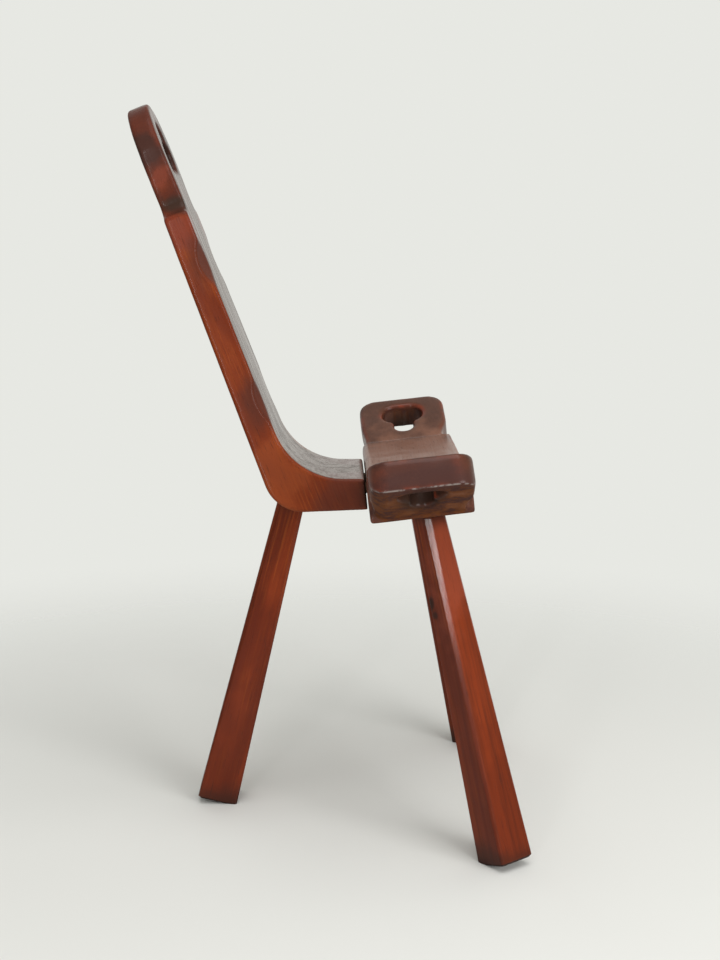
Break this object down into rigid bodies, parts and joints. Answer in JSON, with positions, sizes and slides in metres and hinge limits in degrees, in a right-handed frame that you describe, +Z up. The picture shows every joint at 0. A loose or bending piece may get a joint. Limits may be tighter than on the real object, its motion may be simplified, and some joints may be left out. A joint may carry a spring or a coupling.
{
  "type": "low plank-back chair",
  "caption": "Low wooden chair: a narrow plank back bends into the seat and meets a carved cross yoke with raised, pierced wings as hand-holds, on splayed square legs.",
  "frame": {"origin": "on the floor, under the middle of the overall box", "axes": "+X the way the sitter faces, +Y to the sitter's left, +Z up"},
  "size_m": [0.4336, 0.5026, 0.8001],
  "materials": {
    "plank_wood": "satin varnish over red-brown stain",
    "yoke_wood": "satin varnish over dark chocolate stain",
    "leg_wood": "satin varnish over red-brown stain",
    "dowel_wood": "bare turned wood"
  },
  "bodies": {
    "root": {"back_plank": "plank_wood", "seat_yoke": "yoke_wood", "rear_leg": "leg_wood", "front_leg_right": "leg_wood", "front_leg_left": "leg_wood", "seat_dowels": "dowel_wood"}
  },
  "joints": []
}
